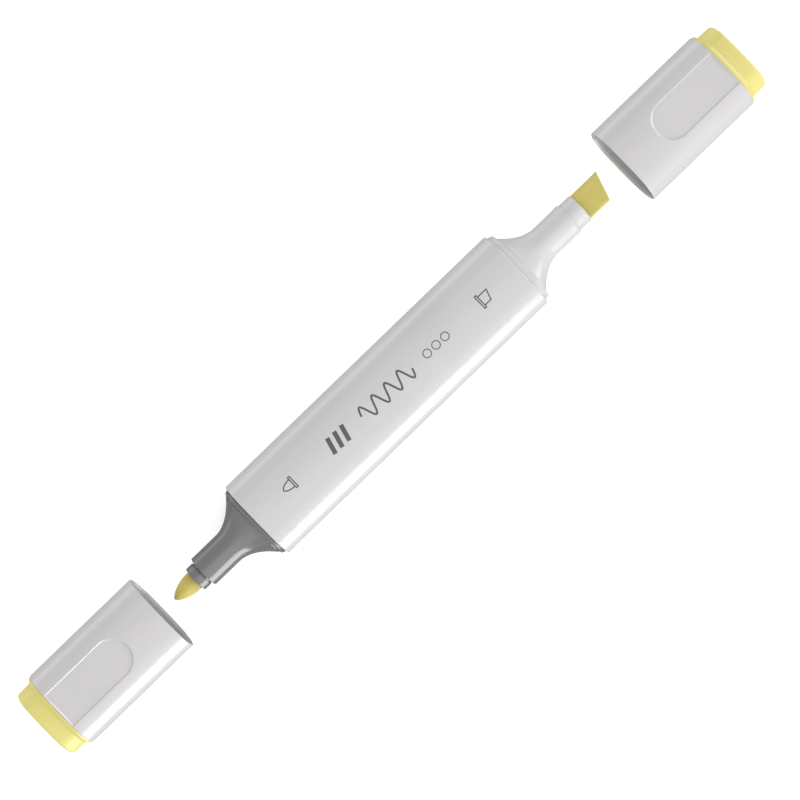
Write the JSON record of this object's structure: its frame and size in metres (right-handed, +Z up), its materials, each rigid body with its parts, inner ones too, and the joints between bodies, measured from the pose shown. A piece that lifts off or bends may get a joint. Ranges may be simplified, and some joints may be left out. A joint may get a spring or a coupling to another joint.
{
  "type": "twin-tip felt marker",
  "caption": "Flat twin-tip felt marker with a bullet nib and a chisel nib, and a pull-off cap with a thumb recess for each end.",
  "frame": {"origin": "middle of the barrel's underside, on the surface that the marker lies on", "axes": "+X along the marker, towards the chisel nib; +Y across the broad faces; +Z up, out of the upper broad face"},
  "size_m": [0.2138, 0.0202, 0.0128],
  "materials": {
    "barrel_plastic": "satin",
    "cap_plastic": "satin",
    "grey_neck_plastic": "satin",
    "white_neck_plastic": "satin",
    "plug_plastic": "satin",
    "nib_felt": "matte",
    "reservoir_fibre": "matte",
    "clear_film": "gloss",
    "liner_plastic": "satin",
    "print_ink": "matte"
  },
  "bodies": {
    "barrel": {"barrel": "barrel_plastic", "bullet_neck": "grey_neck_plastic", "chisel_neck": "white_neck_plastic", "bullet_nib": "nib_felt", "chisel_nib": "nib_felt", "ink_reservoir": "reservoir_fibre", "reservoir_film": "clear_film"},
    "bullet_cap": {"bullet_cap_shell": "cap_plastic", "bullet_cap_liner": "liner_plastic", "bullet_cap_plug": "plug_plastic"},
    "chisel_cap": {"chisel_cap_shell": "cap_plastic", "chisel_cap_liner": "liner_plastic", "chisel_cap_plug": "plug_plastic"}
  },
  "joints": [
    {"name": "bullet_cap_slide", "type": "slide", "parent": "barrel", "child": "bullet_cap", "axis": [1, 0, 0], "range_m": [0, 0.0291]},
    {"name": "chisel_cap_slide", "type": "slide", "parent": "barrel", "child": "chisel_cap", "axis": [-1, 0, 0], "range_m": [0, 0.0327]}
  ]
}
